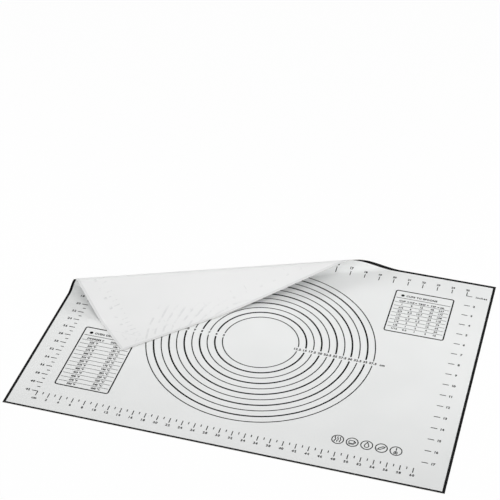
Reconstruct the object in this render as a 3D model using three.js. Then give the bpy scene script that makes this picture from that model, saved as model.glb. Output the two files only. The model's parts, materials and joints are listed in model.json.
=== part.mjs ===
// A printed silicone baking mat lying on a worktop, with its back left corner folded over.
// Millimetres, +Z up, +X along the long edges and +Y to the back. The origin is the middle of the underside.
import * as THREE from "three";

// Sheet: glass-fibre cloth between two silicone skins
const MAT_LENGTH = 697; // along X
const MAT_DEPTH = 498; // along Y
const SKIN_THICKNESS = 0.3;
const CLOTH_THICKNESS = 0.16;
const BOND_CLEARANCE = 0.02; // between layers that are bonded together

// Fold: the sheet leaves the worktop, curls over a ridge, slopes down and lies on itself again
const FOLD_ANGLE = THREE.MathUtils.degToRad(22.5); // crease direction, against X
const LIFT_OFF = 159.2; // from the mat's middle to the line where the sheet leaves the worktop
const CURL_RADIUS = 13.7;
const DROOP_ANGLE = THREE.MathUtils.degToRad(19.7); // slope of the flap below level
const CURL_HINGES = 10; // creases that share the curl's turn equally
const HINGE_CLEARANCE = 0.3; // between neighbouring strips of the sheet
const LANDING_CLEARANCE = 0.3; // between the folded corner and the face that it lies on

// Print
const INK_THICKNESS = 0.05;
const BORDER_WIDTH = 4.3;
const SCALE_INSET_X = 43.7; // from the short edges to the rulers' base lines
const SCALE_INSET_Y = 38.5; // from the long edges to the rulers' base lines
const RING_FIRST = 125; // diameter of the smallest dough ring
const RING_STEP = 25; // growth in diameter from one ring to the next
const RING_COUNT = 11;
const FINE_LINE = 1.5;
const BOLD_LINE = 2.5;
const RING_SEGMENTS = 30; // in a half turn
const FRAME_LINE = 1.8; // outline of the tables
const FRAME_CORNER = 4.5; // outer radius of the tables' corners
const CORNER_SEGMENTS = 2; // in an eighth of a turn
// The oven table's gaps are to the left and front rulers, the measure table's to the right and back rulers
const OVEN_TABLE = { width: 91.1, depth: 144.8, gapX: 17.3, gapY: 23.2 };
const MEASURE_TABLE = { width: 100.7, depth: 110.2, gapX: 18.2, gapY: 15.4 };
const BADGE_COUNT = 5;
const BADGE_DIAMETER = 19.5;
const BADGE_PITCH = 22.5;
const BADGE_LINE = 1.3;
const BADGE_GAP_X = 42; // from the last badge's centre to the right ruler
const BADGE_GAP_Y = 27; // from the badges' centres to the front ruler
const BADGE_SEGMENTS = 10; // in a half turn

// Worked out from the sizes above
const SHEET_THICKNESS = 2 * SKIN_THICKNESS + CLOTH_THICKNESS + 2 * BOND_CLEARANCE;
const INK_BASE = SHEET_THICKNESS + BOND_CLEARANCE;
const CURL_TURN = Math.PI + DROOP_ANGLE;
const HINGE_TURN = CURL_TURN / CURL_HINGES;
const STRIP_WIDTH = (CURL_RADIUS * CURL_TURN) / CURL_HINGES;
const FIRST_HINGE = LIFT_OFF + STRIP_WIDTH / 2;
const LAST_HINGE = FIRST_HINGE + (CURL_HINGES - 1) * STRIP_WIDTH;
const DROOP_HINGE = LAST_HINGE + flapRun();
const MAT_END = FIRST_HINGE - HINGE_CLEARANCE / 2;
const SCALE_RIGHT = MAT_LENGTH / 2 - SCALE_INSET_X;
const SCALE_BACK = MAT_DEPTH / 2 - SCALE_INSET_Y;

const FACE = new THREE.MeshStandardMaterial({ color: 0xe8e8e6, roughness: 0.5, metalness: 0 });
const UNDERSIDE = new THREE.MeshStandardMaterial({ color: 0xe4e4e2, roughness: 0.6, metalness: 0 });
const CLOTH = new THREE.MeshStandardMaterial({ color: 0xd9d6c8, roughness: 0.8, metalness: 0 });
const INK = new THREE.MeshStandardMaterial({ color: 0x161616, roughness: 0.5, metalness: 0 });

const LAYERS = [
  { name: "bottom_skin", base: 0, thickness: SKIN_THICKNESS, material: UNDERSIDE },
  { name: "glass_cloth", base: SKIN_THICKNESS + BOND_CLEARANCE, thickness: CLOTH_THICKNESS, material: CLOTH },
  { name: "top_skin", base: SHEET_THICKNESS - SKIN_THICKNESS, thickness: SKIN_THICKNESS, material: FACE },
];

// Length of the sloping flap that brings the corner down onto the mat's printed face.
function flapRun() {
  let rise = 0;
  for (let strip = 1; strip < CURL_HINGES; strip += 1) {
    rise += STRIP_WIDTH * Math.sin(strip * HINGE_TURN);
  }
  const hingeOffset = SHEET_THICKNESS * (1 - Math.cos(DROOP_ANGLE));
  return (rise - hingeOffset - LANDING_CLEARANCE) / Math.sin(DROOP_ANGLE);
}

// The crease frame has X along the crease and Y across it towards the folded corner. A line at a distance
// across the crease meets the mat's left and back edges, or lines set in from them, at these places.
function leftEnd(across, inset = 0) {
  const edge = -MAT_LENGTH / 2 + inset;
  return new THREE.Vector2((edge + across * Math.sin(FOLD_ANGLE)) / Math.cos(FOLD_ANGLE), across);
}

function backEnd(across, inset = 0) {
  const edge = MAT_DEPTH / 2 - inset;
  return new THREE.Vector2((edge - across * Math.cos(FOLD_ANGLE)) / Math.sin(FOLD_ANGLE), across);
}

function foldedCorner(inset = 0) {
  const corner = new THREE.Vector2(-MAT_LENGTH / 2 + inset, MAT_DEPTH / 2 - inset);
  return corner.rotateAround(new THREE.Vector2(), -FOLD_ANGLE);
}

function onMat(point) {
  return point.clone().rotateAround(new THREE.Vector2(), FOLD_ANGLE);
}

function plate(name, outline, base, thickness, material, curveSegments = 1) {
  const shape = Array.isArray(outline) ? new THREE.Shape(outline) : outline;
  const geometry = new THREE.ExtrudeGeometry(shape, { depth: thickness, bevelEnabled: false, curveSegments });
  const mesh = new THREE.Mesh(geometry, material);
  mesh.name = name;
  mesh.position.z = base;
  return mesh;
}

// The three layers of one stretch of the sheet, with the frame's origin at a height in the sheet.
function addLayers(group, name, outline, originHeight = 0) {
  for (const layer of LAYERS) {
    const base = layer.base - originHeight;
    group.add(plate(`${name}_${layer.name}`, outline, base, layer.thickness, layer.material));
  }
}

function addInk(group, name, outline, originHeight = 0, curveSegments = 1) {
  group.add(plate(name, outline, INK_BASE - originHeight, INK_THICKNESS, INK, curveSegments));
}

// Corners of the mat that stay on the worktop, set in by a margin, from front left round to back right.
function flatCorners(inset = 0) {
  const x = MAT_LENGTH / 2 - inset;
  const y = MAT_DEPTH / 2 - inset;
  return [new THREE.Vector2(-x, -y), new THREE.Vector2(x, -y), new THREE.Vector2(x, y)];
}

function flatSheet() {
  const group = new THREE.Group();
  const outline = [onMat(leftEnd(MAT_END)), ...flatCorners(), onMat(backEnd(MAT_END))];
  addLayers(group, "mat", outline);
  const inner = [
    onMat(leftEnd(MAT_END, BORDER_WIDTH)),
    ...flatCorners(BORDER_WIDTH),
    onMat(backEnd(MAT_END, BORDER_WIDTH)),
  ];
  addInk(group, "mat_border", [...outline, ...inner.reverse()]);
  return group;
}

// A closed ring line, or the arc of it that lies on the flat sheet where it would run over the fold.
function ringShape(diameter, line) {
  const outer = (diameter + line) / 2;
  const inner = (diameter - line) / 2;
  const shape = new THREE.Shape();
  if (outer < MAT_END) {
    shape.absarc(0, 0, outer, 0, 2 * Math.PI);
    shape.holes.push(new THREE.Path().absarc(0, 0, inner, 0, 2 * Math.PI, true));
    return shape;
  }
  const across = FOLD_ANGLE + Math.PI / 2;
  const cut = Math.acos(MAT_END / outer);
  shape.absarc(0, 0, outer, across + cut, across - cut + 2 * Math.PI);
  shape.absarc(0, 0, inner, across - cut + 2 * Math.PI, across + cut, true);
  return shape;
}

// Whole centimetres of five are bold, and the half steps between them are fine.
function doughRings() {
  const group = new THREE.Group();
  for (let index = 0; index < RING_COUNT; index += 1) {
    const diameter = RING_FIRST + index * RING_STEP;
    const line = index % 2 === 0 ? FINE_LINE : BOLD_LINE;
    addInk(group, `dough_ring_${index + 1}`, ringShape(diameter, line), 0, RING_SEGMENTS);
  }
  return group;
}

function roundedRectangle(path, width, depth, radius) {
  const x = width / 2 - radius;
  const y = depth / 2 - radius;
  path.absarc(x, y, radius, 0, Math.PI / 2);
  path.absarc(-x, y, radius, Math.PI / 2, Math.PI);
  path.absarc(-x, -y, radius, Math.PI, 1.5 * Math.PI);
  path.absarc(x, -y, radius, 1.5 * Math.PI, 2 * Math.PI);
  return path;
}

function tableFrame(name, table, x, y) {
  const shape = roundedRectangle(new THREE.Shape(), table.width, table.depth, FRAME_CORNER);
  const innerWidth = table.width - 2 * FRAME_LINE;
  const innerDepth = table.depth - 2 * FRAME_LINE;
  shape.holes.push(roundedRectangle(new THREE.Path(), innerWidth, innerDepth, FRAME_CORNER - FRAME_LINE));
  const group = new THREE.Group();
  addInk(group, name, shape, 0, CORNER_SEGMENTS);
  group.position.set(x, y, 0);
  return group;
}

function tables() {
  const group = new THREE.Group();
  const ovenX = -SCALE_RIGHT + OVEN_TABLE.gapX + OVEN_TABLE.width / 2;
  const ovenY = -SCALE_BACK + OVEN_TABLE.gapY + OVEN_TABLE.depth / 2;
  group.add(tableFrame("oven_table_frame", OVEN_TABLE, ovenX, ovenY));
  const measureX = SCALE_RIGHT - MEASURE_TABLE.gapX - MEASURE_TABLE.width / 2;
  const measureY = SCALE_BACK - MEASURE_TABLE.gapY - MEASURE_TABLE.depth / 2;
  group.add(tableFrame("measure_table_frame", MEASURE_TABLE, measureX, measureY));
  return group;
}

function badges() {
  const group = new THREE.Group();
  for (let index = 0; index < BADGE_COUNT; index += 1) {
    const shape = new THREE.Shape().absarc(0, 0, BADGE_DIAMETER / 2, 0, 2 * Math.PI);
    const inner = BADGE_DIAMETER / 2 - BADGE_LINE;
    shape.holes.push(new THREE.Path().absarc(0, 0, inner, 0, 2 * Math.PI, true));
    const badge = new THREE.Group();
    addInk(badge, `badge_ring_${index + 1}`, shape, 0, BADGE_SEGMENTS);
    const fromLast = (BADGE_COUNT - 1 - index) * BADGE_PITCH;
    badge.position.set(SCALE_RIGHT - BADGE_GAP_X - fromLast, -SCALE_BACK + BADGE_GAP_Y, 0);
    group.add(badge);
  }
  return group;
}

// The sheet between two lines across the crease, measured from the hinge that carries it.
function stripOutline(start, end, hinge, inset = 0) {
  const outline = [leftEnd(start, inset), backEnd(start, inset), backEnd(end, inset), leftEnd(end, inset)];
  return outline.map((point) => point.setY(point.y - hinge));
}

function addFlapBorders(group, start, end, hinge) {
  const outer = stripOutline(start, end, hinge);
  const inner = stripOutline(start, end, hinge, BORDER_WIDTH);
  addInk(group, "flap_left_border", [outer[0], inner[0], inner[3], outer[3]], SHEET_THICKNESS);
  addInk(group, "flap_back_border", [inner[1], outer[1], outer[2], inner[2]], SHEET_THICKNESS);
}

function addCorner(group, start) {
  const outline = [leftEnd(start), backEnd(start), foldedCorner()];
  const inner = [leftEnd(start, BORDER_WIDTH), backEnd(start, BORDER_WIDTH), foldedCorner(BORDER_WIDTH)];
  for (const point of [...outline, ...inner]) {
    point.y -= DROOP_HINGE;
  }
  addLayers(group, "corner", outline);
  const [left, back, tip] = outline;
  addInk(group, "corner_border", [left, inner[0], inner[2], inner[1], back, tip]);
}

// Hinge by hinge round the curl, each crease on the printed face, so that the strips open on the outside.
function foldedSheet() {
  const crease = new THREE.Group();
  crease.rotation.z = FOLD_ANGLE;
  let carrier = crease;
  for (let index = 1; index <= CURL_HINGES; index += 1) {
    const hinge = new THREE.Group();
    const first = index === 1;
    hinge.position.set(0, first ? FIRST_HINGE : STRIP_WIDTH, first ? SHEET_THICKNESS : 0);
    hinge.rotation.x = HINGE_TURN;
    carrier.add(hinge);
    carrier = hinge;
    const place = FIRST_HINGE + (index - 1) * STRIP_WIDTH;
    const last = index === CURL_HINGES;
    const start = place + HINGE_CLEARANCE / 2;
    const end = (last ? DROOP_HINGE : place + STRIP_WIDTH) - HINGE_CLEARANCE / 2;
    addLayers(hinge, last ? "flap" : `curl_${index}`, stripOutline(start, end, place), SHEET_THICKNESS);
    if (last) {
      addFlapBorders(hinge, start, end, place);
    }
  }
  const droop = new THREE.Group();
  droop.position.set(0, DROOP_HINGE - LAST_HINGE, -SHEET_THICKNESS);
  droop.rotation.x = -DROOP_ANGLE;
  addCorner(droop, DROOP_HINGE + HINGE_CLEARANCE / 2);
  carrier.add(droop);
  return crease;
}

const bakingMat = new THREE.Group();
bakingMat.add(flatSheet(), doughRings(), tables(), badges(), foldedSheet());

export default bakingMat;
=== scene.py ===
"""Dresses a printed silicone baking mat that lies on a worktop with its back left corner folded over.

Metres, +Z up, +X along the long edges and +Y to the back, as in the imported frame. Every shape is drawn flat
on the unfolded mat and then carried round the fold, so the sheet and its print run on from one stretch to
the next.
"""

from __future__ import annotations

import functools
import json
import logging
import math
from dataclasses import dataclass, field
from enum import Enum

import bmesh
import bpy
from mathutils import Matrix, Vector

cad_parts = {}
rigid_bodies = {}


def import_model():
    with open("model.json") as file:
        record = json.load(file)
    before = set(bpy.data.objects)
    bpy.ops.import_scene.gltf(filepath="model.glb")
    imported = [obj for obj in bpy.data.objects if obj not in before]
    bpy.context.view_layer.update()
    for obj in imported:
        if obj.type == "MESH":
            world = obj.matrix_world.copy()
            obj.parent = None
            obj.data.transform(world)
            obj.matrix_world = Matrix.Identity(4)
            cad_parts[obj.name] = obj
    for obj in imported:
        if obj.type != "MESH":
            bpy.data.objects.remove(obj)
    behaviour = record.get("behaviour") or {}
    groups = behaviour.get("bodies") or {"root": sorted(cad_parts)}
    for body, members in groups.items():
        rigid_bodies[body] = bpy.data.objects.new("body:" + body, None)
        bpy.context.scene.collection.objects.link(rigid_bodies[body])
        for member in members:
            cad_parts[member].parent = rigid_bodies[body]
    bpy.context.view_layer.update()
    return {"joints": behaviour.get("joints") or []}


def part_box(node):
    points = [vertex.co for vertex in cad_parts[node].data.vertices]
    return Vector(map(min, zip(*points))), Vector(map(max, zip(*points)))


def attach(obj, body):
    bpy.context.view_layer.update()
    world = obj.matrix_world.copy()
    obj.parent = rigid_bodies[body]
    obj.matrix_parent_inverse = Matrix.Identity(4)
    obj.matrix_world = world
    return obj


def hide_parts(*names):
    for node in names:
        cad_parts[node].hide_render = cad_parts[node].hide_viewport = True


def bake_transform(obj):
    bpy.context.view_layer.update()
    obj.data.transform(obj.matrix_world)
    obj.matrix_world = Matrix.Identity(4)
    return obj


LOG = logging.getLogger("baking_mat")
MM = 0.001
INCH = 25.4 * MM
CENTIMETRE = 10 * MM
UP = Vector((0.0, 0.0, 1.0))
FLAT_MAP = "flat"
# The Mix node's colour sockets come after those for numbers and vectors, which bear the same names.
MIX_COLOURS = slice(6, 8)
MIXED_COLOUR = 2
Socket = bpy.types.NodeSocket


def rectangle(sheet: bmesh.types.BMesh, size: Vector, height: float) -> None:
    """Draws a flat rectangle round the mat's middle at a height."""
    shape = Matrix.Translation(UP * height) @ Matrix.Diagonal((*size.xy, 1.0, 1.0))
    bmesh.ops.create_grid(sheet, x_segments=1, y_segments=1, size=0.5, matrix=shape)


def add_object(name: str, data: bpy.types.ID) -> bpy.types.Object:
    """Adds an object to the scene.

    Args:
        name: its name.
        data: its mesh, light or camera.
    Returns:
        The object.
    """
    made = bpy.data.objects.new(name, data)
    bpy.context.scene.collection.objects.link(made)
    return made


class Layer(Enum):
    """The laminate's layers: how their solids' names end, and their material slot."""

    UNDER_SKIN = ("bottom_skin", "underside")
    CLOTH = ("glass_cloth", "glass_cloth")
    PRINTED_SKIN = ("top_skin", "printed_face")

    def __init__(self, solid: str, slot: str) -> None:
        """Takes the ending and the slot."""
        self.solid = solid
        self.slot = slot


class Side(Enum):
    """Where a line of lettering is held, as a share of its length."""

    LEFT = 0.0
    MIDDLE = 0.5


@dataclass(frozen=True)
class Stretch:
    """A stretch of the sheet between two lines across the crease, measured on the unfolded mat."""

    name: str
    start: float
    end: float
    bodies: tuple[str, ...]
    rulings: int = 1
    stands_for: str = ""

    @property
    def bends(self) -> bool:
        """Whether the stretch bends between two bodies."""
        return len(self.bodies) > 1


@dataclass(frozen=True)
class Fold:
    """The folded sheet's cross-section: flat, round a curl, down a slope and flat again on its own face."""

    along: Vector
    across: Vector
    chain: tuple[str, ...]
    lift_off: float
    strip: float
    turn: float
    thickness: float
    droop_hinge: float
    droop: float
    sag_radius: float = 42 * MM
    bend_rulings: int = 16
    sag_rulings: int = 24

    @classmethod
    def from_frame(cls, joints: list[dict]) -> Fold:
        """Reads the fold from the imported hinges.

        Args:
            joints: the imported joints, the curl's hinges first and the droop's hinge last.
        Returns:
            The fold.
        """
        *curl, droop = joints
        places = [Vector(joint["pos_m"]) for joint in joints]
        along = -Vector(curl[0]["axis"]).normalized()
        across = UP.cross(along)
        strip = (places[1] - places[0]).length
        thickness = places[0].z
        reach = places[-1] - places[-2]
        run = math.sqrt(reach.length_squared - reach.dot(along) ** 2 - thickness**2)
        first = places[0].dot(across)
        return cls(
            along=along,
            across=across,
            chain=(curl[0]["parent"], *(joint["child"] for joint in joints)),
            lift_off=first - strip / 2,
            strip=strip,
            turn=math.radians(curl[0]["range_deg"][1]),
            thickness=thickness,
            droop_hinge=first + (len(curl) - 1) * strip + run,
            droop=math.radians(droop["range_deg"][1]),
        )

    @property
    def bends(self) -> int:
        """How many hinges share the curl."""
        return len(self.chain) - 2

    @property
    def radius(self) -> float:
        """Radius of the printed face inside the curl."""
        return self.strip / 2 / math.tan(self.turn / 2)

    @property
    def curl_end(self) -> float:
        """Flat distance to the line where the curl turns into the slope."""
        return self.lift_off + self.bends * self.strip

    @property
    def sag(self) -> float:
        """Half the flat length of the bend at the slope's foot."""
        return self.sag_radius * math.tan(self.droop / 2)

    def section(self, distance: float, height: float) -> tuple[float, float]:
        """Carries a point of the flat sheet's cross-section to its folded place.

        Args:
            distance: flat distance across the crease.
            height: height in the sheet, from the underside.
        Returns:
            The distance across the crease and the height, both as folded.
        """
        if distance <= self.lift_off:
            return distance, height
        angle = (min(distance, self.curl_end) - self.lift_off) * self.turn / self.strip
        reach = self.radius + self.thickness - height
        place = self.lift_off + reach * math.sin(angle)
        rise = self.thickness + self.radius - reach * math.cos(angle)
        sag_start = self.droop_hinge - self.sag
        run = max(min(distance, sag_start) - self.curl_end, 0.0)
        place += run * math.cos(angle)
        rise += run * math.sin(angle)
        if distance > sag_start:
            swing = min((distance - sag_start) / (2 * self.sag), 1.0) * self.droop
            hollow = self.sag_radius + height
            place += hollow * (math.sin(angle) - math.sin(angle - swing))
            rise += hollow * (math.cos(angle - swing) - math.cos(angle))
        place -= max(distance - self.droop_hinge - self.sag, 0.0)
        return place, rise

    def carry(self, flat: Vector) -> Vector:
        """The folded place of a point of the unfolded mat, whose Z is its height in the sheet."""
        place, rise = self.section(flat.dot(self.across), flat.z)
        return self.along * flat.dot(self.along) + self.across * place + UP * rise

    def at(self, distance: float) -> Vector:
        """The folded place of the printed face at a flat distance across the crease."""
        return self.carry(self.across * distance + UP * self.thickness)

    def stretches(self, reach: float) -> list[Stretch]:
        """Divides the sheet where its motion changes.

        Args:
            reach: flat distance past the mat's furthest corners.
        Returns:
            The stretches from the flat mat to the folded corner.
        """
        mat, *curls, flap, corner = self.chain
        found = [Stretch(mat, -reach, self.lift_off, (mat,), stands_for=mat)]
        for index in range(self.bends):
            start = self.lift_off + index * self.strip
            bodies = (self.chain[index], self.chain[index + 1])
            stands_for = curls[index] if index < len(curls) else ""
            name = f"bend_{index + 1}"
            found.append(Stretch(name, start, start + self.strip, bodies, self.bend_rulings, stands_for))
        foot = self.droop_hinge - self.sag
        landing = self.droop_hinge + self.sag
        found.append(Stretch(flap, self.curl_end, foot, (flap,), stands_for=flap))
        found.append(Stretch("sag", foot, landing, (flap, corner), self.sag_rulings))
        found.append(Stretch(corner, landing, reach, (corner,), stands_for=corner))
        return found


@dataclass
class Pen:
    """Draws lines of one width as flat ribbons, with so much turn in one step of an arc."""

    sheet: bmesh.types.BMesh
    width: float
    arc_step: float = math.radians(3)
    fewest_steps: int = 2
    heading: float = 0.0
    front: bmesh.types.BMEdge | None = None

    def _left(self) -> Vector:
        """The direction to the left of the pen's heading."""
        return Vector((-math.sin(self.heading), math.cos(self.heading), 0.0))

    def _spin(self, centre: Vector, angle: float, merge: bool = False) -> list[object]:
        """Sweeps the front edge round a centre.

        Args:
            centre: the centre.
            angle: turn in radians.
            merge: whether the sweep closes on its start.
        Returns:
            What lies at the sweep's end.
        """
        return bmesh.ops.spin(
            self.sheet,
            geom=[*self.front.verts, self.front],
            cent=centre,
            axis=UP,
            angle=angle,
            steps=max(self.fewest_steps, round(abs(angle) / self.arc_step)),
            use_merge=merge,
        )["geom_last"]

    def begin(self, x: float, y: float, heading: float = 0.0) -> Pen:
        """Sets the pen down.

        Args:
            x: place along the mat.
            y: place across the mat.
            heading: direction of the line, in radians from +X.
        Returns:
            The pen, for the line's next stroke.
        """
        self.heading = heading
        half = self._left() * self.width / 2
        ends = [self.sheet.verts.new(Vector((x, y, 0.0)) + offset) for offset in (half, -half)]
        self.front = self.sheet.edges.new(ends)
        return self

    def run(self, length: float) -> Pen:
        """Draws a straight stroke.

        Args:
            length: the stroke's length.
        Returns:
            The pen.
        """
        made = bmesh.ops.extrude_edge_only(self.sheet, edges=[self.front])["geom"]
        verts = [item for item in made if isinstance(item, bmesh.types.BMVert)]
        step = Vector((math.cos(self.heading), math.sin(self.heading), 0.0)) * length
        bmesh.ops.translate(self.sheet, vec=step, verts=verts)
        self.front = self.sheet.edges.get(verts)
        return self

    def arc(self, radius: float, angle: float) -> Pen:
        """Draws a round stroke.

        Args:
            radius: radius of the line's middle.
            angle: turn in radians, to the left where it is positive.
        Returns:
            The pen.
        """
        first, second = (vert.co for vert in self.front.verts)
        side = self._left() * math.copysign(radius, angle)
        ends = self._spin((first + second) / 2 + side, angle)
        self.front = next(item for item in ends if isinstance(item, bmesh.types.BMEdge))
        self.heading += angle
        return self

    def ring(self, x: float, y: float, radius: float) -> None:
        """Draws a whole ring round a centre."""
        self.begin(x + radius, y, math.pi / 2)
        self._spin(Vector((x, y, 0.0)), 2 * math.pi, merge=True)

    def frame(self, low: Vector, high: Vector, radius: float) -> None:
        """Draws a rectangle with round corners, inside the corners given.

        Args:
            low: outer front left corner.
            high: outer back right corner.
            radius: outer radius of the corners.
        """
        inset = self.width / 2
        self.begin(low.x + radius, low.y + inset)
        for length in (high.x - low.x, high.y - low.y) * 2:
            self.run(length - 2 * radius).arc(radius - inset, math.pi / 2)


@dataclass
class Lettering:
    """Numbers and unit words in Blender's own plain face, as flat filled shapes one unit high."""

    spacing: float = 1.25
    swell: float = 0.047
    resolution: int = 3
    kept: dict[tuple[str, Side], bpy.types.Mesh] = field(default_factory=dict)

    def _filled(self, text: str) -> bpy.types.Mesh:
        """Makes a text's filled shapes at the font's own size.

        Args:
            text: the text.
        Returns:
            The shapes.
        """
        curve = bpy.data.curves.new("lettering", "FONT")
        curve.body = text
        curve.offset = self.swell
        curve.space_character = self.spacing
        curve.resolution_u = self.resolution
        curve.fill_mode = "FRONT"
        holder = bpy.data.objects.new("lettering", curve)
        mesh = bpy.data.meshes.new_from_object(holder)
        bpy.data.objects.remove(holder)
        bpy.data.curves.remove(curve)
        return mesh

    def shapes(self, text: str, side: Side) -> bpy.types.Mesh:
        """Gives a text's shapes with digits one unit high and their middle on the line.

        Args:
            text: the text.
            side: where the text is held.
        Returns:
            A mesh that later calls share.
        """
        if (text, side) not in self.kept:
            heights = [vertex.co.y for vertex in self._filled("0").vertices]
            low, high = min(heights), max(heights)
            mesh = self._filled(text)
            places = [vertex.co.x for vertex in mesh.vertices]
            hold = min(places) + side.value * (max(places) - min(places))
            shift = Matrix.Translation((-hold, -(low + high) / 2, 0))
            mesh.transform(Matrix.Scale(1 / (high - low), 4) @ shift)
            self.kept[(text, side)] = mesh
        return self.kept[(text, side)]

    def write(
        self,
        sheet: bmesh.types.BMesh,
        text: str,
        x: float,
        y: float,
        height: float,
        side: Side = Side.MIDDLE,
    ) -> None:
        """Writes a text on the flat mat.

        Args:
            sheet: the sheet that is written on.
            text: the text.
            x: place of its middle or left end.
            y: place of the digits' middle.
            height: height of the digits.
            side: where the text is held.
        """
        mesh = self.shapes(text, side).copy()
        mesh.transform(Matrix.Translation((x, y, 0)) @ Matrix.Scale(height, 4))
        sheet.from_mesh(mesh)
        bpy.data.meshes.remove(mesh)


@dataclass
class Mark:
    """One printed mark, flat on the unfolded mat, and the solids that it stands for."""

    name: str
    stands_for: tuple[str, ...] = ()
    sheet: bmesh.types.BMesh = field(default_factory=bmesh.new)


@dataclass
class Border:
    """The black band round the mat's edge."""

    size: Vector
    width: float = 4.4 * MM
    front: float = 3.4 * MM
    back: float = 4.9 * MM

    def draw(self) -> list[Mark]:
        """Draws the band.

        Returns:
            One mark.
        """
        mark = Mark("border_ink", ("mat_border",))
        rectangle(mark.sheet, self.size, 0.0)
        middle = list(mark.sheet.faces)
        bmesh.ops.inset_region(
            mark.sheet, faces=middle, thickness=self.width, use_boundary=True, use_even_offset=True
        )
        for vert in middle[0].verts:
            edge = self.back if vert.co.y > 0 else self.front
            vert.co.y = math.copysign(self.size.y / 2 - edge, vert.co.y)
        bmesh.ops.delete(mark.sheet, geom=middle, context="FACES_ONLY")
        return [mark]


@dataclass
class DoughRings:
    """Rings for rolling dough to size, open on both sides for their numbers."""

    lettering: Lettering
    count: int = 11
    first_inch: int = 5
    fine_line: float = 1.5 * MM
    bold_line: float = 2.5 * MM
    spread: float = 0.25 * MM
    arc_step: float = math.radians(1.5)
    gap: float = 10.8 * MM
    gap_shift: float = -0.9 * MM
    digit: float = 5.3 * MM
    unit_gap: float = 15.5 * MM

    def draw(self) -> list[Mark]:
        """Draws the rings and their numbers.

        Returns:
            A mark for each ring and one for the numbers.
        """
        numbers = Mark("ring_numbers_ink")
        marks = [numbers]
        texts = []
        reach = 0.0
        for index in range(self.count):
            node = f"dough_ring_{index + 1}"
            line = self.bold_line if index % 2 else self.fine_line
            low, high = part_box(node)
            reach = (high.x - low.x - line) / 2
            mark = Mark(f"ring_{index + 1}_ink", (node,))
            self._ring(Pen(mark.sheet, line + self.spread, self.arc_step), reach)
            marks.append(mark)
            texts += [(f"{2 * reach / CENTIMETRE:.3g}", reach), (str(self.first_inch + index), -reach)]
        end = reach + self.unit_gap
        for text, x in (*texts, ("cm", end), ("inch", -end)):
            self.lettering.write(numbers.sheet, text, x, self.gap_shift, self.digit)
        return marks

    def _ring(self, pen: Pen, radius: float) -> None:
        """Draws the back and the front half of a ring, between its gaps.

        Args:
            pen: the pen.
            radius: the ring's radius.
        """
        back = math.asin((self.gap_shift + self.gap / 2) / radius)
        front = math.asin((self.gap_shift - self.gap / 2) / radius)
        for start, turn in ((back, math.pi - 2 * back), (math.pi - front, math.pi + 2 * front)):
            place = Vector((math.cos(start), math.sin(start))) * radius
            pen.begin(*place, start + math.pi / 2).arc(radius, turn)


@dataclass
class Rulers:
    """Centimetre rulers along the front and left edges, inch rulers along the back and right edges."""

    size: Vector
    lettering: Lettering
    figures: Lettering
    inset_x: float = 43.7 * MM
    inset_y: float = 38.5 * MM
    line: float = 1.45 * MM
    tick: float = 10 * MM
    half_tick: float = 5 * MM
    front_centimetres: int = 60
    left_centimetres: int = 42
    back_inches: int = 25
    right_inches: int = 17
    digit: float = 5.0 * MM
    right_digit: float = 5.2 * MM
    right_gap: float = 15.2 * MM
    row_gap: float = 15.4 * MM
    column_gap: float = 16.7 * MM
    inch_shift: Vector = Vector((-1.0, 0.7)) * MM
    unit_shift: float = 25.6 * MM
    unit_digit: float = 4.9 * MM

    @property
    def corner(self) -> Vector:
        """The back right corner of the centimetre rulers' field."""
        return Vector((self.size.x / 2 - self.inset_x, self.size.y / 2 - self.inset_y))

    @property
    def inch_corner(self) -> Vector:
        """The corner where the inch rulers' base lines meet."""
        return self.corner + self.inch_shift

    def draw(self) -> list[Mark]:
        """Draws the four rulers.

        Returns:
            A mark for the centimetres and one for the inches.
        """
        return [self._centimetres(), self._inches()]

    def _centimetres(self) -> Mark:
        """Draws ticks and numbers from the front left corner.

        Returns:
            The mark.
        """
        mark = Mark("centimetre_ruler_ink")
        pen = Pen(mark.sheet, self.line)
        left, front = -self.corner
        for index in range(self.front_centimetres + 1):
            x = left + index * CENTIMETRE
            pen.begin(x, front, -math.pi / 2).run(self.half_tick if index % 2 else self.tick)
            label = str(index) if index else "cm"
            if index % 2 == 0:
                self.lettering.write(mark.sheet, label, x, front - self.row_gap, self.digit)
        for index in range(self.left_centimetres + 1):
            y = front + index * CENTIMETRE
            pen.begin(left, y, math.pi).run(self.half_tick if index % 2 else self.tick)
            label = str(self.left_centimetres - index)
            if index % 2 == 0:
                self.lettering.write(mark.sheet, label, left - self.column_gap, y, self.digit)
        return mark

    def _inches(self) -> Mark:
        """Draws ticks and numbers from the back right corner.

        Returns:
            The mark.
        """
        mark = Mark("inch_ruler_ink")
        pen = Pen(mark.sheet, self.line)
        right, back = self.inch_corner
        for index in range(self.back_inches):
            x = right - index * INCH
            pen.begin(x, back, math.pi / 2).run(self.tick)
            label = str(self.back_inches - index)
            self.figures.write(mark.sheet, label, x, back + self.row_gap, self.digit)
        for index in range(self.right_inches):
            y = back - index * INCH
            pen.begin(right, y).run(self.tick)
            label = str(index + 1)
            if index:
                x = right + self.right_gap
                self.figures.write(mark.sheet, label, x, y, self.right_digit, Side.LEFT)
        self.lettering.write(mark.sheet, "inches", right + self.unit_shift, back, self.unit_digit)
        return mark


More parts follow.
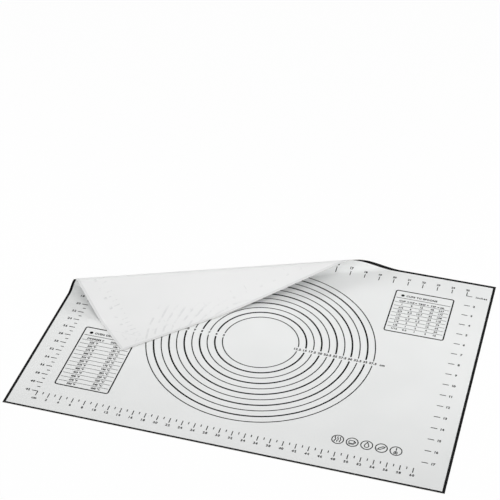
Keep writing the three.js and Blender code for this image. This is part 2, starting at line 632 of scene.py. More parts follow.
@dataclass
class Table:
    """A ruled table in a frame with round corners. Its columns' places are in millimetres."""

    name: str
    node: str
    title: str
    heads: tuple[str, ...]
    head_columns: tuple[float, ...]
    rows: tuple[tuple[str, ...], ...]
    columns: tuple[float, ...]
    lettering: Lettering
    figures: Lettering
    line: float = 2.2 * MM
    corner: float = 4.5 * MM
    arc_step: float = math.radians(10)
    bullet: float = 6 * MM
    bullet_sides: int = 24
    bullet_x: float = 14 * MM
    title_x: float = 20.1 * MM
    title_y: float = 12.9 * MM
    title_digit: float = 4.7 * MM
    underline_y: float = 19.9 * MM
    underline: float = 1.1 * MM
    head_y: float = 27.7 * MM
    row_y: float = 36.4 * MM
    row_pitch: float = 9.24 * MM
    rule: float = 0.8 * MM
    rule_gap: float = 4.2 * MM
    digit: float = 4.3 * MM

    def draw(self) -> list[Mark]:
        """Draws the frame, the title row and the ruled rows.

        Returns:
            One mark.
        """
        mark = Mark(self.name, (self.node,))
        low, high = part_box(self.node)
        Pen(mark.sheet, self.line, self.arc_step).frame(low, high, self.corner)
        self._title(mark.sheet, low.x, high)
        ruler = Pen(mark.sheet, self.rule)
        texts = [(self.lettering, word, x, self.head_y) for word, x in zip(self.heads, self.head_columns)]
        for index, row in enumerate(self.rows):
            down = self.row_y + index * self.row_pitch
            texts += [(self.figures, word, x, down) for word, x in zip(row, self.columns)]
            rule_y = high.y - down + self.row_pitch / 2
            ruler.begin(low.x + self.rule_gap, rule_y).run(high.x - low.x - 2 * self.rule_gap)
        for lettering, word, x, down in texts:
            lettering.write(mark.sheet, word, low.x + x * MM, high.y - down, self.digit)
        return [mark]

    def _title(self, sheet: bmesh.types.BMesh, left: float, high: Vector) -> None:
        """Draws the bullet, the title and the line under it.

        Args:
            sheet: the sheet that is drawn on.
            left: the frame's left edge.
            high: its back right corner.
        """
        y = high.y - self.title_y
        bmesh.ops.create_circle(
            sheet,
            cap_ends=True,
            segments=self.bullet_sides,
            radius=self.bullet / 2,
            matrix=Matrix.Translation((left + self.bullet_x, y, 0)),
        )
        self.lettering.write(sheet, self.title, left + self.title_x, y, self.title_digit, Side.LEFT)
        under = Pen(sheet, self.underline).begin(left + self.rule_gap, high.y - self.underline_y)
        under.run(high.x - left - 2 * self.rule_gap)


def oven_rows(first: int = 225, last: int = 500, step: int = 25) -> tuple[tuple[str, ...], ...]:
    """Oven heats in degrees Fahrenheit with the nearest five degrees Celsius."""
    heats = range(first, last + 1, step)
    return tuple((f"{heat} °F", f"{5 * round((heat - 32) / 9)} °C") for heat in heats)


def volume_rows() -> tuple[tuple[str, ...], ...]:
    """Shares of a cup in fluid ounces, tablespoons, teaspoons and millilitres.

    Returns:
        The rows.
    """
    cup_ounces, cup_spoons, cup_teaspoons, cup_millilitres = 8, 16, 48, 236.6
    rows = []
    for above, below in ((1, 1), (3, 4), (2, 3), (1, 2), (1, 3), (1, 4), (1, 8), (1, 16)):
        share = above / below
        name = f"{above}/{below}" if below > 1 else str(above)
        amounts = [f"{round(share * whole, 1):g}" for whole in (cup_ounces, cup_spoons, cup_teaspoons)]
        rows.append((name, *amounts, f"{share * cup_millilitres:.0f}"))
    return tuple(rows)


@dataclass(frozen=True)
class Stroke:
    """One line of a badge's motif, in millimetres from the badge's middle and in degrees.

    A step with no turn is a straight run of that length, and one with a turn an arc of that radius.
    """

    x: float
    y: float
    heading: float
    steps: tuple[tuple[float, float], ...]

    def draw(self, pen: Pen, middle: Vector) -> None:
        """Draws the line.

        Args:
            pen: the pen.
            middle: the badge's middle.
        """
        pen.begin(middle.x + self.x * MM, middle.y + self.y * MM, math.radians(self.heading))
        for reach, turn in self.steps:
            if turn:
                pen.arc(reach * MM, math.radians(turn))
            else:
                pen.run(reach * MM)


@dataclass
class Badges:
    """Round badges with plain kitchen motifs."""

    line: float = 1.6 * MM
    motif_line: float = 1.4 * MM
    arc_step: float = math.radians(12)
    steam: tuple[Stroke, ...] = tuple(
        Stroke(x, -5.374, 135, ((2.66, -90), (2.66, 90), (2.66, -90))) for x in (-4, 0, 4)
    )
    cup: tuple[Stroke, ...] = (
        Stroke(-5, 2.8, -90, ((3.4, 0), (2.2, 90), (3.6, 0), (2.2, 90), (3.4, 0), (0.5, 90), (7, 0))),
        Stroke(3.6, -1.6, 0, ((1.7, 180),)),
        Stroke(-6, -4.6, 0, ((10, 0),)),
    )
    drop: tuple[Stroke, ...] = (
        Stroke(-3.094, 0.0098, 245.5037, ((3.4, 228.9926), (7.4619, 0))),
        Stroke(-3.094, 0.0098, 65.5037, ((7.4619, 0),)),
    )
    rolling_pin: tuple[Stroke, ...] = (
        Stroke(-1.892, -3.4001, 35, ((7, 0), (1, 90), (1.4, 0), (1, 90)) * 2),
        Stroke(4.2596, 2.9826, 35, ((2.4, 0),)),
        Stroke(-4.2596, -2.9826, -145, ((2.4, 0),)),
    )
    whisk: tuple[Stroke, ...] = (
        Stroke(0, 0.6, 90, ((6.2, 0),)),
        Stroke(0, -0.8, -90, ((5.6, 0),)),
        Stroke(-0.9, -0.8, -140, ((4.2, 92),)),
        Stroke(0.9, -0.8, -40, ((4.2, -92),)),
    )

    def draw(self) -> list[Mark]:
        """Draws a ring and a motif for each badge.

        Returns:
            A mark for each badge.
        """
        marks = []
        for index, motif in enumerate((self.steam, self.cup, self.drop, self.rolling_pin, self.whisk)):
            node = f"badge_ring_{index + 1}"
            low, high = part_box(node)
            middle = (low + high) / 2
            mark = Mark(f"badge_{index + 1}_ink", (node,))
            ring = Pen(mark.sheet, self.line, self.arc_step)
            ring.ring(middle.x, middle.y, (high.x - low.x - self.line) / 2)
            for stroke in motif:
                stroke.draw(Pen(mark.sheet, self.motif_line, self.arc_step), middle)
            marks.append(mark)
        return marks


@dataclass
class Graph:
    """The nodes of a material or a world, with a short call for each kind that is used."""

    owner: bpy.types.Material | bpy.types.World
    finer: float = 0.55

    def __post_init__(self) -> None:
        """Takes over the nodes that a new material or world starts with."""
        self.owner.use_nodes = True
        self.tree = self.owner.node_tree

    @property
    def shader(self) -> bpy.types.Node:
        """A material's Principled shader."""
        return self.tree.nodes["Principled BSDF"]

    def feed(self, socket: Socket, value: object) -> None:
        """Links a socket to another, or sets its value.

        Args:
            socket: the input.
            value: another socket or a plain value.
        """
        if isinstance(value, Socket):
            self.tree.links.new(value, socket)
        else:
            socket.default_value = value

    def node(self, kind: str, *values: object, **settings: object) -> bpy.types.Node:
        """Adds a node.

        Args:
            kind: the node's type.
            values: its first inputs.
            settings: its own settings.
        Returns:
            The node.
        """
        made = self.tree.nodes.new(kind)
        for name, value in settings.items():
            setattr(made, name, value)
        for socket, value in zip(made.inputs, values):
            self.feed(socket, value)
        return made

    def math(self, operation: str, *values: object) -> Socket:
        """Works out a number with one of the Math node's operations."""
        return self.node("ShaderNodeMath", *values, operation=operation).outputs[0]

    def chain(self, operation: str, *values: object) -> Socket:
        """Works out one number from a row of values, two at a time."""
        return functools.reduce(functools.partial(self.math, operation), values)

    def vector(self, operation: str, *values: object) -> Socket:
        """Works out a vector."""
        return self.node("ShaderNodeVectorMath", *values, operation=operation).outputs[0]

    def fade(self, value: object, start: float, end: float) -> Socket:
        """Runs smoothly from 0 at start to 1 at end."""
        made = self.node("ShaderNodeMapRange", value, start, end, interpolation_type="SMOOTHSTEP")
        return made.outputs[0]

    def noise(self, place: object, scale: float, detail: float) -> Socket:
        """Adds noise about 0.5, with scale grains in a metre and detail finer grains on each."""
        unread = 0.0
        return self.node("ShaderNodeTexNoise", place, unread, scale, detail, self.finer).outputs["Fac"]

    def mix(self, share: object, first: object, second: object) -> Socket:
        """Mixes two colours.

        Args:
            share: the second colour's share.
            first: first colour.
            second: second colour.
        Returns:
            The colour.
        """
        made = self.node("ShaderNodeMix", share, data_type="RGBA")
        for socket, value in zip(made.inputs[MIX_COLOURS], (first, second)):
            self.feed(socket, value)
        return made.outputs[MIXED_COLOUR]

    def flat_place(self, size: Vector) -> tuple[Socket, Socket, Socket]:
        """Reads the place on the unfolded mat from the mesh's flat map.

        Args:
            size: the mat's length and depth.
        Returns:
            The place from the mat's middle as a vector, and its two numbers.
        """
        chart = self.node("ShaderNodeUVMap", uv_map=FLAT_MAP).outputs[0]
        middle = self.vector("SUBTRACT", chart, (0.5, 0.5, 0.0))
        place = self.vector("MULTIPLY", middle, (size.x, size.y, 1.0))
        x, y, _ = self.node("ShaderNodeSeparateXYZ", place).outputs
        return place, x, y

    def weave(self, x: object, y: object, pitch: float) -> Socket:
        """A plain weave's height, from -1 to 1, with so much between threads."""
        waves = [self.math("SINE", self.math("MULTIPLY", value, math.pi / pitch)) for value in (x, y)]
        return self.math("MULTIPLY", *waves)

    def bump(self, height: object, depth: float) -> None:
        """Gives the shader a relief.

        Args:
            height: the relief's height, of about one unit.
            depth: what one unit stands for.
        """
        made = self.node("ShaderNodeBump")
        self.feed(made.inputs["Distance"], depth)
        self.feed(made.inputs["Height"], height)
        self.feed(self.shader.inputs["Normal"], made.outputs[0])

    def finish(self, colour: object, roughness: object, specular: float) -> bpy.types.Material:
        """Sets the shader's colour and gloss.

        Args:
            colour: base colour.
            roughness: roughness.
            specular: the gloss's level.
        Returns:
            The material.
        """
        self.feed(self.shader.inputs["Base Color"], colour)
        self.feed(self.shader.inputs["Roughness"], roughness)
        self.feed(self.shader.inputs["Specular IOR Level"], specular)
        return self.owner


@dataclass(frozen=True)
class Silicone:
    """Pale satin silicone with the cloth's weave faintly raised on it."""

    light: tuple[float, ...] = (0.81, 0.818, 0.814, 1.0)
    dark: tuple[float, ...] = (0.766, 0.776, 0.771, 1.0)
    cloud: float = 7.0
    grain: float = 1800.0
    grain_share: float = 0.35
    soft: tuple[float, float] = (0.3, 0.7)
    wear: float = 21.0
    roughness: float = 0.56
    roughness_spread: float = 0.1
    specular: float = 0.25
    weave_pitch: float = 0.9 * MM
    weave_share: float = 0.35
    relief: float = 0.012 * MM

    def colour(self, graph: Graph, place: object) -> Socket:
        """Broad soft clouds with a fine grain over them.

        Args:
            graph: the material.
            place: coordinates on the unfolded mat.
        Returns:
            The colour.
        """
        clouds = graph.math("MULTIPLY", graph.noise(place, self.cloud, detail=2), 1 - self.grain_share)
        grain = graph.noise(place, self.grain, detail=2)
        share = graph.math("MULTIPLY_ADD", grain, self.grain_share, clouds)
        return graph.mix(graph.fade(share, *self.soft), self.light, self.dark)

    def surface(self, graph: Graph, place: object, x: object, y: object) -> Socket:
        """Gives the relief, and works out the roughness.

        Args:
            graph: the material.
            place: coordinates on the unfolded mat.
            x: place along the mat.
            y: place across the mat.
        Returns:
            The roughness.
        """
        grain = graph.noise(place, self.grain, detail=3)
        weave = graph.weave(x, y, self.weave_pitch)
        graph.bump(graph.math("MULTIPLY_ADD", weave, self.weave_share, grain), self.relief)
        low = self.roughness - self.roughness_spread / 2
        wear = graph.noise(place, self.wear, detail=4)
        return graph.math("MULTIPLY_ADD", wear, self.roughness_spread, low)

    def material(self, size: Vector) -> bpy.types.Material:
        """Makes the printed skin's material.

        Args:
            size: the mat's length and depth.
        Returns:
            The material.
        """
        graph = Graph(bpy.data.materials.new("printed silicone"))
        place, x, y = graph.flat_place(size)
        return graph.finish(self.colour(graph, place), self.surface(graph, place, x, y), self.specular)


@dataclass(frozen=True)
class Trace:
    """Finds lines and bands of the print on a material's coordinates, with soft edges."""

    graph: Graph
    blur: float

    def lines(self, value: object, start: float, pitch: float, half: float) -> Socket:
        """1 on the lines of a ruled row, from one line's place, their pitch and half their width."""
        off = self.graph.math("PINGPONG", self.graph.math("SUBTRACT", value, start), pitch / 2)
        return self.graph.fade(off, half + self.blur, half - self.blur / 2)

    def band(self, value: object, low: float, high: float) -> Socket:
        """1 between two places."""
        rise = self.graph.fade(value, low - self.blur, low + self.blur)
        return self.graph.math("MULTIPLY", rise, self.graph.fade(value, high + self.blur, high - self.blur))

    def outside(self, x: object, y: object, low: Vector, high: Vector) -> Socket:
        """Measures how far a place lies outside a rectangle.

        Args:
            x: place along the mat.
            y: place across the mat.
            low: the rectangle's front left corner.
            high: its back right corner.
        Returns:
            The distance, below zero inside.
        """
        offs = []
        for value, start, end in ((x, low.x, high.x), (y, low.y, high.y)):
            away = self.graph.math("ABSOLUTE", self.graph.math("SUBTRACT", value, (start + end) / 2))
            offs.append(self.graph.math("SUBTRACT", away, (end - start) / 2))
        return self.graph.math("MAXIMUM", *offs)

    def rings(self, place: object, rings: DoughRings) -> Socket:
        """Works out where the dough rings lie.

        Args:
            place: coordinates on the flat mat.
            rings: the dough rings.
        Returns:
            1 on a ring.
        """
        reach = self.graph.node("ShaderNodeVectorMath", place, operation="LENGTH").outputs["Value"]
        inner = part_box("dough_ring_1")[1].x - rings.fine_line / 2
        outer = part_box(f"dough_ring_{rings.count}")[1].x - rings.fine_line / 2
        step = (outer - inner) / (rings.count - 1)
        lines = self.lines(reach, inner, step, rings.fine_line)
        return self.graph.math("MULTIPLY", lines, self.band(reach, inner - step / 2, outer + step / 2))


@dataclass(frozen=True)
class UnderSilicone(Silicone):
    """The underside's silicone, through which the print shows faintly."""

    light: tuple[float, ...] = (0.808, 0.81, 0.808, 1.0)
    dark: tuple[float, ...] = (0.774, 0.777, 0.775, 1.0)
    shade: tuple[float, ...] = (0.60, 0.605, 0.61, 1.0)
    roughness: float = 0.6
    blur: float = 0.8 * MM
    border_share: float = 0.5
    left_share: float = 0.75
    back_share: float = 0.3
    ring_share: float = 0.35
    patch: float = 75.0
    patch_soft: tuple[float, float] = (0.4, 0.62)
    beneath_share: float = 0.5
    beneath_far: float = 10.5 * MM
    beneath_near: float = 3.5 * MM

    def rulings(self, trace: Trace, x: object, y: object, rulers: Rulers) -> list[Socket]:
        """Works out where the left and the back ruler show through the sheet.

        Args:
            trace: finds the lines on the material.
            x: place along the mat.
            y: place across the mat.
            rulers: the rulers.
        Returns:
            Shares for the ticks and the numbers.
        """
        left, front = -rulers.corner
        right, back = rulers.inch_corner
        half, digit = rulers.line / 2, rulers.digit / 2
        column, row = left - rulers.column_gap, back + rulers.row_gap
        numbers = trace.band(x, column - digit, column + digit)
        ruled = (
            (trace.band(x, left - rulers.tick, left), y, front, CENTIMETRE, half, self.left_share),
            (numbers, y, front, 2 * CENTIMETRE, digit, self.left_share),
            (trace.band(y, back, back + rulers.tick), x, right, INCH, half, self.back_share),
            (trace.band(y, row - digit, row + digit), x, right, INCH, digit, self.back_share),
        )
        return [
            trace.graph.chain("MULTIPLY", band, trace.lines(value, start, pitch, width), share)
            for band, value, start, pitch, width, share in ruled
        ]

    def beneath(self, trace: Trace, rings: DoughRings) -> Socket:
        """Works out where the print under the folded corner shows through it.

        Args:
            trace: finds the lines on the material.
            rings: the dough rings.
        Returns:
            Its share, less the higher the sheet lies above that print.
        """
        graph = trace.graph
        place = graph.node("ShaderNodeTexCoord").outputs["Object"]
        level = graph.vector("MULTIPLY", place, (1.0, 1.0, 0.0))
        x, y, height = graph.node("ShaderNodeSeparateXYZ", place).outputs
        off = graph.math("ABSOLUTE", trace.outside(x, y, *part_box("oven_table_frame")))
        lines = graph.math("MAXIMUM", graph.fade(off, 2 * self.blur, 0.0), trace.rings(level, rings))
        close = graph.fade(height, self.beneath_far, self.beneath_near)
        return graph.chain("MULTIPLY", lines, close, self.beneath_share)

    def dressed(self, border: Border, rulers: Rulers, rings: DoughRings) -> bpy.types.Material:
        """Makes the underside's material: plain, with the print showing through in patches.

        Args:
            border: the band round the edge.
            rulers: the rulers.
            rings: the dough rings.
        Returns:
            The material.
        """
        graph = Graph(bpy.data.materials.new("plain silicone"))
        trace = Trace(graph, self.blur)
        place, x, y = graph.flat_place(border.size)
        ringed = graph.math("MULTIPLY", trace.rings(place, rings), self.ring_share)
        ruled = self.rulings(trace, x, y, rulers)
        shown = graph.chain("MAXIMUM", ringed, *ruled, self.beneath(trace, rings))
        patches = graph.fade(graph.noise(place, self.patch, detail=2), *self.patch_soft)
        inner = border.size.xy / 2 - Vector((border.width, border.width))
        band = graph.fade(trace.outside(x, y, -inner, inner), -self.blur, self.blur)
        edge = graph.math("MULTIPLY", band, self.border_share)
        share = graph.math("MAXIMUM", graph.math("MULTIPLY", shown, patches), edge)
        colour = graph.mix(share, self.colour(graph, place), self.shade)
        return graph.finish(colour, self.surface(graph, place, x, y), self.specular)


@dataclass(frozen=True)
class GlassCloth:
    """Woven glass fibre, seen as a thin line at the cut edge."""

    thread: tuple[float, ...] = (0.72, 0.69, 0.58, 1.0)
    gap: tuple[float, ...] = (0.50, 0.47, 0.38, 1.0)
    pitch: float = 0.9 * MM
    fibre: float = 4000.0
    fibre_share: float = 0.8
    soft: tuple[float, float] = (-0.6, 1.2)
    roughness: float = 0.6
    specular: float = 0.4
    relief: float = 0.05 * MM

    def material(self, size: Vector) -> bpy.types.Material:
        """Makes the cloth's material.

        Args:
            size: the mat's length and depth.
        Returns:
            The material.
        """
        graph = Graph(bpy.data.materials.new("woven glass cloth"))
        place, x, y = graph.flat_place(size)
        weave = graph.weave(x, y, self.pitch)
        graph.bump(weave, self.relief)
        fibre = graph.noise(place, self.fibre, detail=2)
        share = graph.fade(graph.math("MULTIPLY_ADD", fibre, self.fibre_share, weave), *self.soft)
        return graph.finish(graph.mix(share, self.gap, self.thread), self.roughness, self.specular)


@dataclass(frozen=True)
class Ink:
    """Matt black silicone ink, a little rubbed."""

    fresh: tuple[float, ...] = (0.004, 0.004, 0.0042, 1.0)
    rubbed: tuple[float, ...] = (0.009, 0.009, 0.0095, 1.0)
    rub: float = 45.0
    soft: tuple[float, float] = (0.5, 0.75)
    roughness: float = 0.5
    roughness_spread: float = 0.16
    specular: float = 0.05
    grain: float = 2200.0
    relief: float = 0.008 * MM

    def material(self) -> bpy.types.Material:
        """Makes the ink's material.

        Returns:
            The material.
        """
        graph = Graph(bpy.data.materials.new("black ink"))
        place = graph.node("ShaderNodeTexCoord").outputs["Object"]
        graph.bump(graph.noise(place, self.grain, detail=3), self.relief)
        rub = graph.noise(place, self.rub, detail=5)
        roughness = graph.math("MULTIPLY_ADD", rub, self.roughness_spread, self.roughness)
        colour = graph.mix(graph.fade(rub, *self.soft), self.fresh, self.rubbed)
        return graph.finish(colour, roughness, self.specular)


@dataclass
class Laminate:
    """The mat's sheet: cloth between two skins, cut into the stretches of the fold."""

    fold: Fold
    size: Vector
    rounding: float = 0.1 * MM
    rounding_steps: int = 3
    shading_angle: float = math.radians(15)
    merge: float = 0.001 * MM
    least_cut: float = 1e-8
    made: list[bpy.types.Object] = field(default_factory=list)

    def layer(self, layer: Layer, stretch: Stretch, base: float, top: float) -> bpy.types.Object:
        """Builds one layer of one stretch.

        Args:
            layer: the layer.
            stretch: the stretch.
            base: height of its lower face in the sheet.
            top: height of its upper face in the sheet.
        Returns:
            The piece.
        """
        sheet = bmesh.new()
        rectangle(sheet, self.size, base)
        self._thicken(sheet, top - base)
        rim = {Layer.PRINTED_SKIN: top, Layer.UNDER_SKIN: base}.get(layer)
        if rim is not None:
            bmesh.ops.bevel(
                sheet,
                geom=[e for e in sheet.edges if all(abs(v.co.z - rim) < self.merge for v in e.verts)],
                offset=self.rounding,
                segments=self.rounding_steps,
                profile=0.5,
                affect="EDGES",
                material=-1,
            )
        self._trim(sheet, stretch)
        self._cap(sheet)
        self._rule(sheet, stretch)
        return self._settle(sheet, f"{stretch.name}_{layer.name.lower()}", stretch)

    def ink(
        self, name: str, marks: list[Mark], stretch: Stretch, base: float, top: float
    ) -> bpy.types.Object | None:
        """Builds the film of ink that some marks leave on one stretch.

        Args:
            name: the piece's name.
            marks: the marks.
            stretch: the stretch.
            base: height of the film's lower face in the sheet.
            top: height of its upper face.
        Returns:
            The piece, or None where the marks don't reach the stretch.
        """
        sheet = bmesh.new()
        for mark in marks:
            flat = bpy.data.meshes.new(name)
            mark.sheet.to_mesh(flat)
            sheet.from_mesh(flat)
            bpy.data.meshes.remove(flat)
        self._trim(sheet, stretch)
        if not sheet.faces:
            sheet.free()
            return None
        self._rule(sheet, stretch)
        bmesh.ops.remove_doubles(sheet, verts=sheet.verts, dist=self.merge)
        stray = [edge for edge in sheet.edges if edge.is_wire]
        bmesh.ops.delete(sheet, geom=stray, context="EDGES")
        bmesh.ops.translate(sheet, vec=UP * base, verts=sheet.verts)
        self._thicken(sheet, top - base)
        return self._settle(sheet, name, stretch)

    def _thicken(self, sheet: bmesh.types.BMesh, thickness: float) -> None:
        """Raises flat faces into a closed plate.

        Args:
            sheet: the faces.
            thickness: the plate's thickness.
        """
        made = bmesh.ops.extrude_face_region(sheet, geom=list(sheet.faces))["geom"]
        verts = [item for item in made if isinstance(item, bmesh.types.BMVert)]
        bmesh.ops.translate(sheet, vec=UP * thickness, verts=verts)
        bmesh.ops.recalc_face_normals(sheet, faces=sheet.faces)

    def _bisect(self, sheet: bmesh.types.BMesh, distance: float, **clear: bool) -> None:
        """Cuts a flat sheet along a line across the crease.

        Args:
            sheet: the flat sheet.
            distance: the line's distance across the crease.
            clear: which side goes.
        """
        bmesh.ops.bisect_plane(
            sheet,
            geom=[*sheet.verts, *sheet.edges, *sheet.faces],
            dist=self.least_cut,
            plane_co=self.fold.across * distance,
            plane_no=self.fold.across,
            **clear,
        )

    def _trim(self, sheet: bmesh.types.BMesh, stretch: Stretch) -> None:
        """Keeps what lies on a stretch."""
        self._bisect(sheet, stretch.start, clear_inner=True)
        self._bisect(sheet, stretch.end, clear_outer=True)

    def _cap(self, sheet: bmesh.types.BMesh) -> None:
        """Closes the cut ends."""
        bmesh.ops.holes_fill(sheet, edges=[edge for edge in sheet.edges if edge.is_boundary], sides=0)
        bmesh.ops.recalc_face_normals(sheet, faces=sheet.faces)

    def _rule(self, sheet: bmesh.types.BMesh, stretch: Stretch) -> None:
        """Adds the lines along which a stretch bends.

        Args:
            sheet: the flat sheet.
            stretch: the stretch.
        """
        step = (stretch.end - stretch.start) / stretch.rulings
        for index in range(1, stretch.rulings):
            self._bisect(sheet, stretch.start + index * step)

    def _settle(self, sheet: bmesh.types.BMesh, name: str, stretch: Stretch) -> bpy.types.Object:
        """Maps a flat mesh, carries it round the fold and hangs it on its body where the stretch doesn't
        bend.

        Args:
            sheet: the mesh on the unfolded mat.
            name: the piece's name.
            stretch: the stretch that it lies on.
        Returns:
            The piece.
        """
        chart = sheet.loops.layers.uv.new(FLAT_MAP)
        for face in sheet.faces:
            for loop in face.loops:
                place = loop.vert.co
                loop[chart].uv = (place.x / self.size.x + 0.5, place.y / self.size.y + 0.5)
        for vert in sheet.verts:
            vert.co = self.fold.carry(vert.co)
        mesh = bpy.data.meshes.new(name)
        sheet.to_mesh(mesh)
        sheet.free()
        mesh.shade_smooth()
        mesh.set_sharp_from_angle(angle=self.shading_angle)
        piece = add_object(name, mesh)
        if stretch.bends:
            self.fold.at(stretch.start)
            self.fold.at(stretch.end)
            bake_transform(piece)
        else:
            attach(piece, stretch.bodies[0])
        self.made.append(piece)
        return piece


@dataclass
class BakingMat:
    """The whole mat: its layers and its print, on every stretch of the fold."""

    fold: Fold
    wide: Lettering = field(default_factory=Lettering)
    even: Lettering = field(default_factory=lambda: Lettering(spacing=1.12))
    close: Lettering = field(default_factory=lambda: Lettering(spacing=1.0))

    def __post_init__(self) -> None:
        """Takes the mat's size from its solids and lays out the print."""
        low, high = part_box("mat_bottom_skin")
        self.size = Vector((high.x - low.x, high.y - low.y))
        self.border = Border(self.size)
        self.rulers = Rulers(self.size, self.wide, self.close)
        self.rings = DoughRings(self.even)
        self.laminate = Laminate(self.fold, self.size)

    def finishes(self) -> dict[Layer, bpy.types.Material]:
        """Makes the layers' materials.

        Returns:
            A material for each layer.
        """
        return {
            Layer.UNDER_SKIN: UnderSilicone().dressed(self.border, self.rulers, self.rings),
            Layer.CLOTH: GlassCloth().material(self.size),
            Layer.PRINTED_SKIN: Silicone().material(self.size),
        }

    def marks(self) -> list[Mark]:
        """Draws the whole print on the unfolded mat.

        Returns:
            Its marks.
        """
        oven = Table(
            "oven_table_ink",
            "oven_table_frame",
            "OVEN DEGREES",
            ("DEGREES F", "DEGREES C"),
            (26.7, 67.9),
            oven_rows(),
            (26.7, 67.9),
            self.even,
            self.close,
            head_y=27.2 * MM,
        )
        measure = Table(
            "measure_table_ink",
            "measure_table_frame",
            "CUPS TO SPOONS",
            ("CUP", "=", "OZ", "=", "TBSP", "=", "TSP", "=", "ML"),
            (16.4, 25.8, 32.9, 39.7, 49.8, 59.7, 69, 77.6, 84.7),
            volume_rows(),
            (16.9, 33.7, 50.4, 68.7, 84.2),
            self.even,
            self.even,
        )
        drawn = (self.border, self.rings, self.rulers, oven, measure, Badges())
        return [mark for piece in drawn for mark in piece.draw()]

    def dress(self, piece: bpy.types.Object, material: bpy.types.Material, slot: str, *nodes: str) -> None:
        """Gives a piece its finish and hides the solids that it stands for.

        Args:
            piece: the piece.
            material: its material.
            slot: the record's material slot. Not used.
            nodes: the solids.
        """
        piece.data.materials.append(material)
        if nodes:
            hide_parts(*nodes)
        LOG.info("%s: %d faces", piece.name, len(piece.data.polygons))

    def build(self) -> None:
        """Builds every layer and every mark on every stretch."""
        finishes = self.finishes()
        ink = Ink().material()
        marks = self.marks()
        heights = {layer: [end.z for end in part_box(f"mat_{layer.solid}")] for layer in Layer}
        film = [end.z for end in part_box("mat_border")]
        stretches = self.fold.stretches(self.size.length)
        for stretch in stretches:
            for layer in Layer:
                piece = self.laminate.layer(layer, stretch, *heights[layer])
                nodes = [f"{stretch.stands_for}_{layer.solid}"] if stretch.stands_for else []
                self.dress(piece, finishes[layer], layer.slot, *nodes)
        for mark in marks:
            piece = self.laminate.ink(mark.name, [mark], stretches[0], *film)
            self.dress(piece, ink, "black_ink", *mark.stands_for)
        borders = {"flap": ("flap_left_border", "flap_back_border"), "corner": ("corner_border",)}
        for stretch in stretches[1:]:
            piece = self.laminate.ink(f"{stretch.name}_ink", marks, stretch, *film)
            self.dress(piece, ink, "black_ink", *borders.get(stretch.name, ()))


@dataclass(frozen=True)
class Softbox:
    """A soft rectangular light that faces a place on the mat, with its power in watts."""

    name: str
    place: Vector
    target: Vector
    size: tuple[float, float]
    power: float

    def hang(self) -> None:
        """Adds the light to the scene."""
        data = bpy.data.lights.new(self.name, "AREA")
        data.shape = "RECTANGLE"
        data.size, data.size_y = self.size
        data.energy = self.power
        light = add_object(self.name, data)
        light.location = self.place
        light.rotation_euler = (self.place - self.target).to_track_quat("Z", "Y").to_euler()


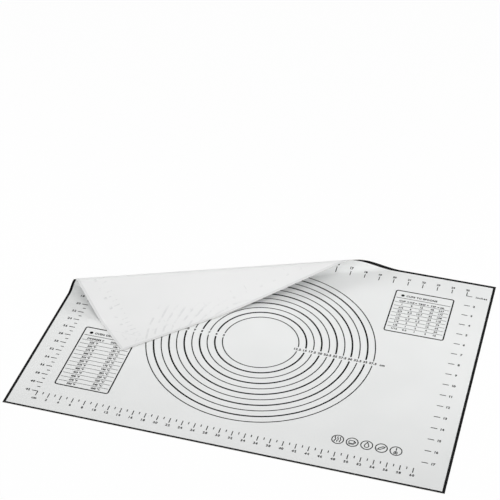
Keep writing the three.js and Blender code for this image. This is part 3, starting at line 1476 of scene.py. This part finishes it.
@dataclass
class Studio:
    """A white worktop, soft light and the camera at the photograph's viewing angle."""

    camera_place: Vector = Vector((0.48932, -1.78875, 1.62011))
    camera_right: Vector = Vector((0.96140, 0.27514, 0.00295))
    camera_ahead: Vector = Vector((-0.21635, 0.76180, -0.61061))
    lens: float = 108.23
    sensor: float = 36.0
    floor_size: float = 12.0
    floor_drop: float = 0.2 * MM
    floor_colour: tuple[float, ...] = (0.88, 0.88, 0.88, 1.0)
    floor_roughness: float = 0.8
    floor_specular: float = 0.2
    white_share: float = 0.97
    ambient: float = 0.05
    lamps: tuple[Softbox, ...] = (
        Softbox("overhead", Vector((0.0, 0.03, 0.6)), Vector((0.0, 0.03, 0.0)), (0.9, 0.25), 2.0),
        Softbox("front", Vector((-0.1, -1.9, 0.75)), Vector((0.0, 0.03, 0.0)), (1.8, 0.5), 21.3),
        Softbox("back", Vector((-0.1, 1.3, 0.7)), Vector((0.0, 0.1, 0.0)), (1.6, 0.4), 3.9),
        Softbox("left", Vector((-1.5, 0.0, 0.5)), Vector((-0.2, 0.05, 0.0)), (0.8, 0.4), 12.3),
        Softbox("right", Vector((1.2, 0.4, 0.35)), Vector((0.15, 0.2, 0.0)), (0.8, 0.25), 10.7),
    )

    def build(self) -> None:
        """Sets up the camera, the worktop, the light and the colour of the picture."""
        self._camera()
        self._worktop()
        self._world()
        for lamp in self.lamps:
            lamp.hang()
        bpy.context.scene.view_settings.view_transform = "Standard"

    def _camera(self) -> None:
        """Places the camera."""
        data = bpy.data.cameras.new("camera")
        data.lens = self.lens
        data.sensor_width = self.sensor
        camera = add_object("camera", data)
        back = -self.camera_ahead.normalized()
        top = back.cross(self.camera_right).normalized()
        turn = Matrix((top.cross(back), top, back)).transposed()
        camera.matrix_world = Matrix.Translation(self.camera_place) @ turn.to_4x4()
        bpy.context.scene.camera = camera

    def _seen(self, graph: Graph) -> Socket:
        """Works out which rays show the background, straight or in a gloss or glass.

        Args:
            graph: the material or the world.
        Returns:
            1 for those rays.
        """
        path = graph.node("ShaderNodeLightPath").outputs
        rays = [path[f"Is {kind} Ray"] for kind in ("Camera", "Glossy", "Transmission")]
        return graph.chain("MAXIMUM", *rays)

    def _worktop(self) -> None:
        """Lays a white worktop that keeps a soft shadow."""
        sheet = bmesh.new()
        rectangle(sheet, Vector((self.floor_size, self.floor_size)), -self.floor_drop)
        mesh = bpy.data.meshes.new("worktop")
        sheet.to_mesh(mesh)
        sheet.free()
        graph = Graph(bpy.data.materials.new("white worktop"))
        graph.finish(self.floor_colour, self.floor_roughness, self.floor_specular)
        seen = graph.math("MULTIPLY", self._seen(graph), self.white_share)
        glow = graph.node("ShaderNodeEmission").outputs[0]
        mixed = graph.node("ShaderNodeMixShader", seen, graph.shader.outputs[0], glow)
        graph.feed(graph.tree.nodes["Material Output"].inputs["Surface"], mixed.outputs[0])
        mesh.materials.append(graph.owner)
        worktop = add_object("worktop", mesh)

    def _world(self) -> None:
        """Surrounds the mat with white that lights it softly."""
        graph = Graph(bpy.data.worlds.new("studio"))
        bpy.context.scene.world = graph.owner
        unseen, seen, white = 0.0, 1.0, (1.0, 1.0, 1.0, 1.0)
        level = graph.node("ShaderNodeMapRange", self._seen(graph), unseen, seen, self.ambient, seen)
        background = graph.tree.nodes["Background"]
        graph.feed(background.inputs["Color"], white)
        graph.feed(background.inputs["Strength"], level.outputs["Result"])


def main() -> None:
    """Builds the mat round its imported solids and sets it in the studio."""
    logging.basicConfig(level=logging.INFO, format="%(name)s: %(message)s")
    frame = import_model()
    Studio().build()
    BakingMat(Fold.from_frame(frame["joints"])).build()


if __name__ == "__main__":
    main()
